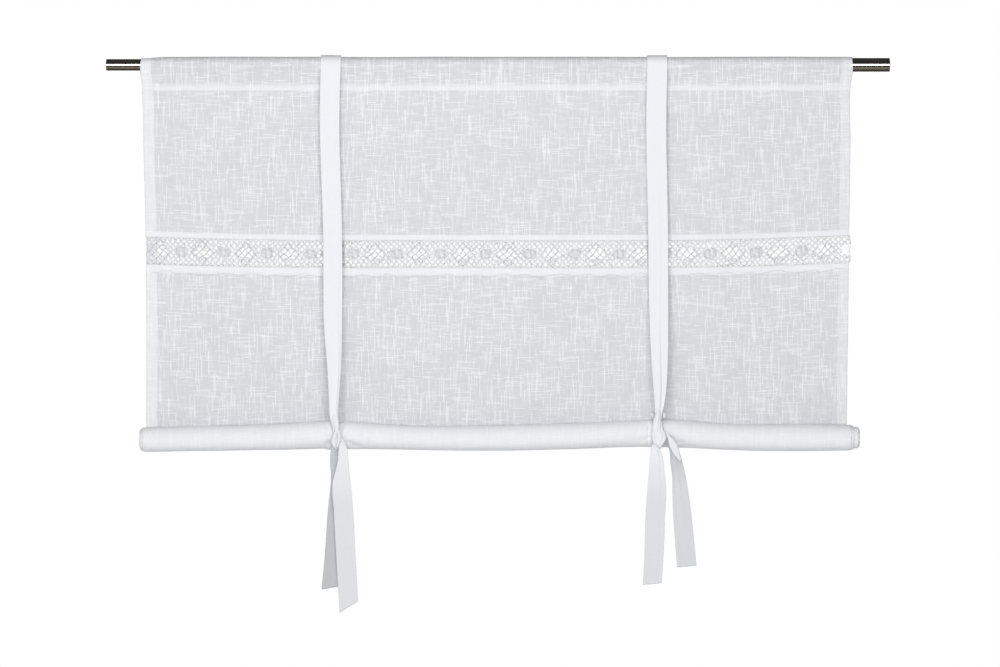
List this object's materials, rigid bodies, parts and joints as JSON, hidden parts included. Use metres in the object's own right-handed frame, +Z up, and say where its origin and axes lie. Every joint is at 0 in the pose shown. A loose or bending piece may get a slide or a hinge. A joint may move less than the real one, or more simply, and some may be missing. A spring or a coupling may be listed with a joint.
{
  "type": "tie-up roman blind on a telescopic curtain rod",
  "caption": "Sheer tie-up roman blind with a lace insert, rolled up at the bottom and held by two tie bands, hanging from a round telescopic rod.",
  "frame": {"origin": "on the rod's axis at mid length", "axes": "+X along the rod to the right as the picture shows it, +Y from the blind's front towards the wall, +Z up"},
  "size_m": [1.091, 0.0621, 0.7752],
  "materials": {
    "rod_steel": "bright drawn steel tube",
    "voile": "sheer linen-look slub voile, matt",
    "lace": "white cotton bobbin lace, matt",
    "tie_cloth": "white cloth folded double, matt"
  },
  "bodies": {
    "root": {"rod_outer_tube": "rod_steel", "rod_inner_tube": "rod_steel", "rod_end_cap_left": "rod_steel", "rod_end_cap_right": "rod_steel", "upper_panel": "voile", "lower_panel": "voile", "lace_insert": "lace", "tie_band_left": "tie_cloth", "tie_band_right": "tie_cloth"}
  },
  "joints": []
}
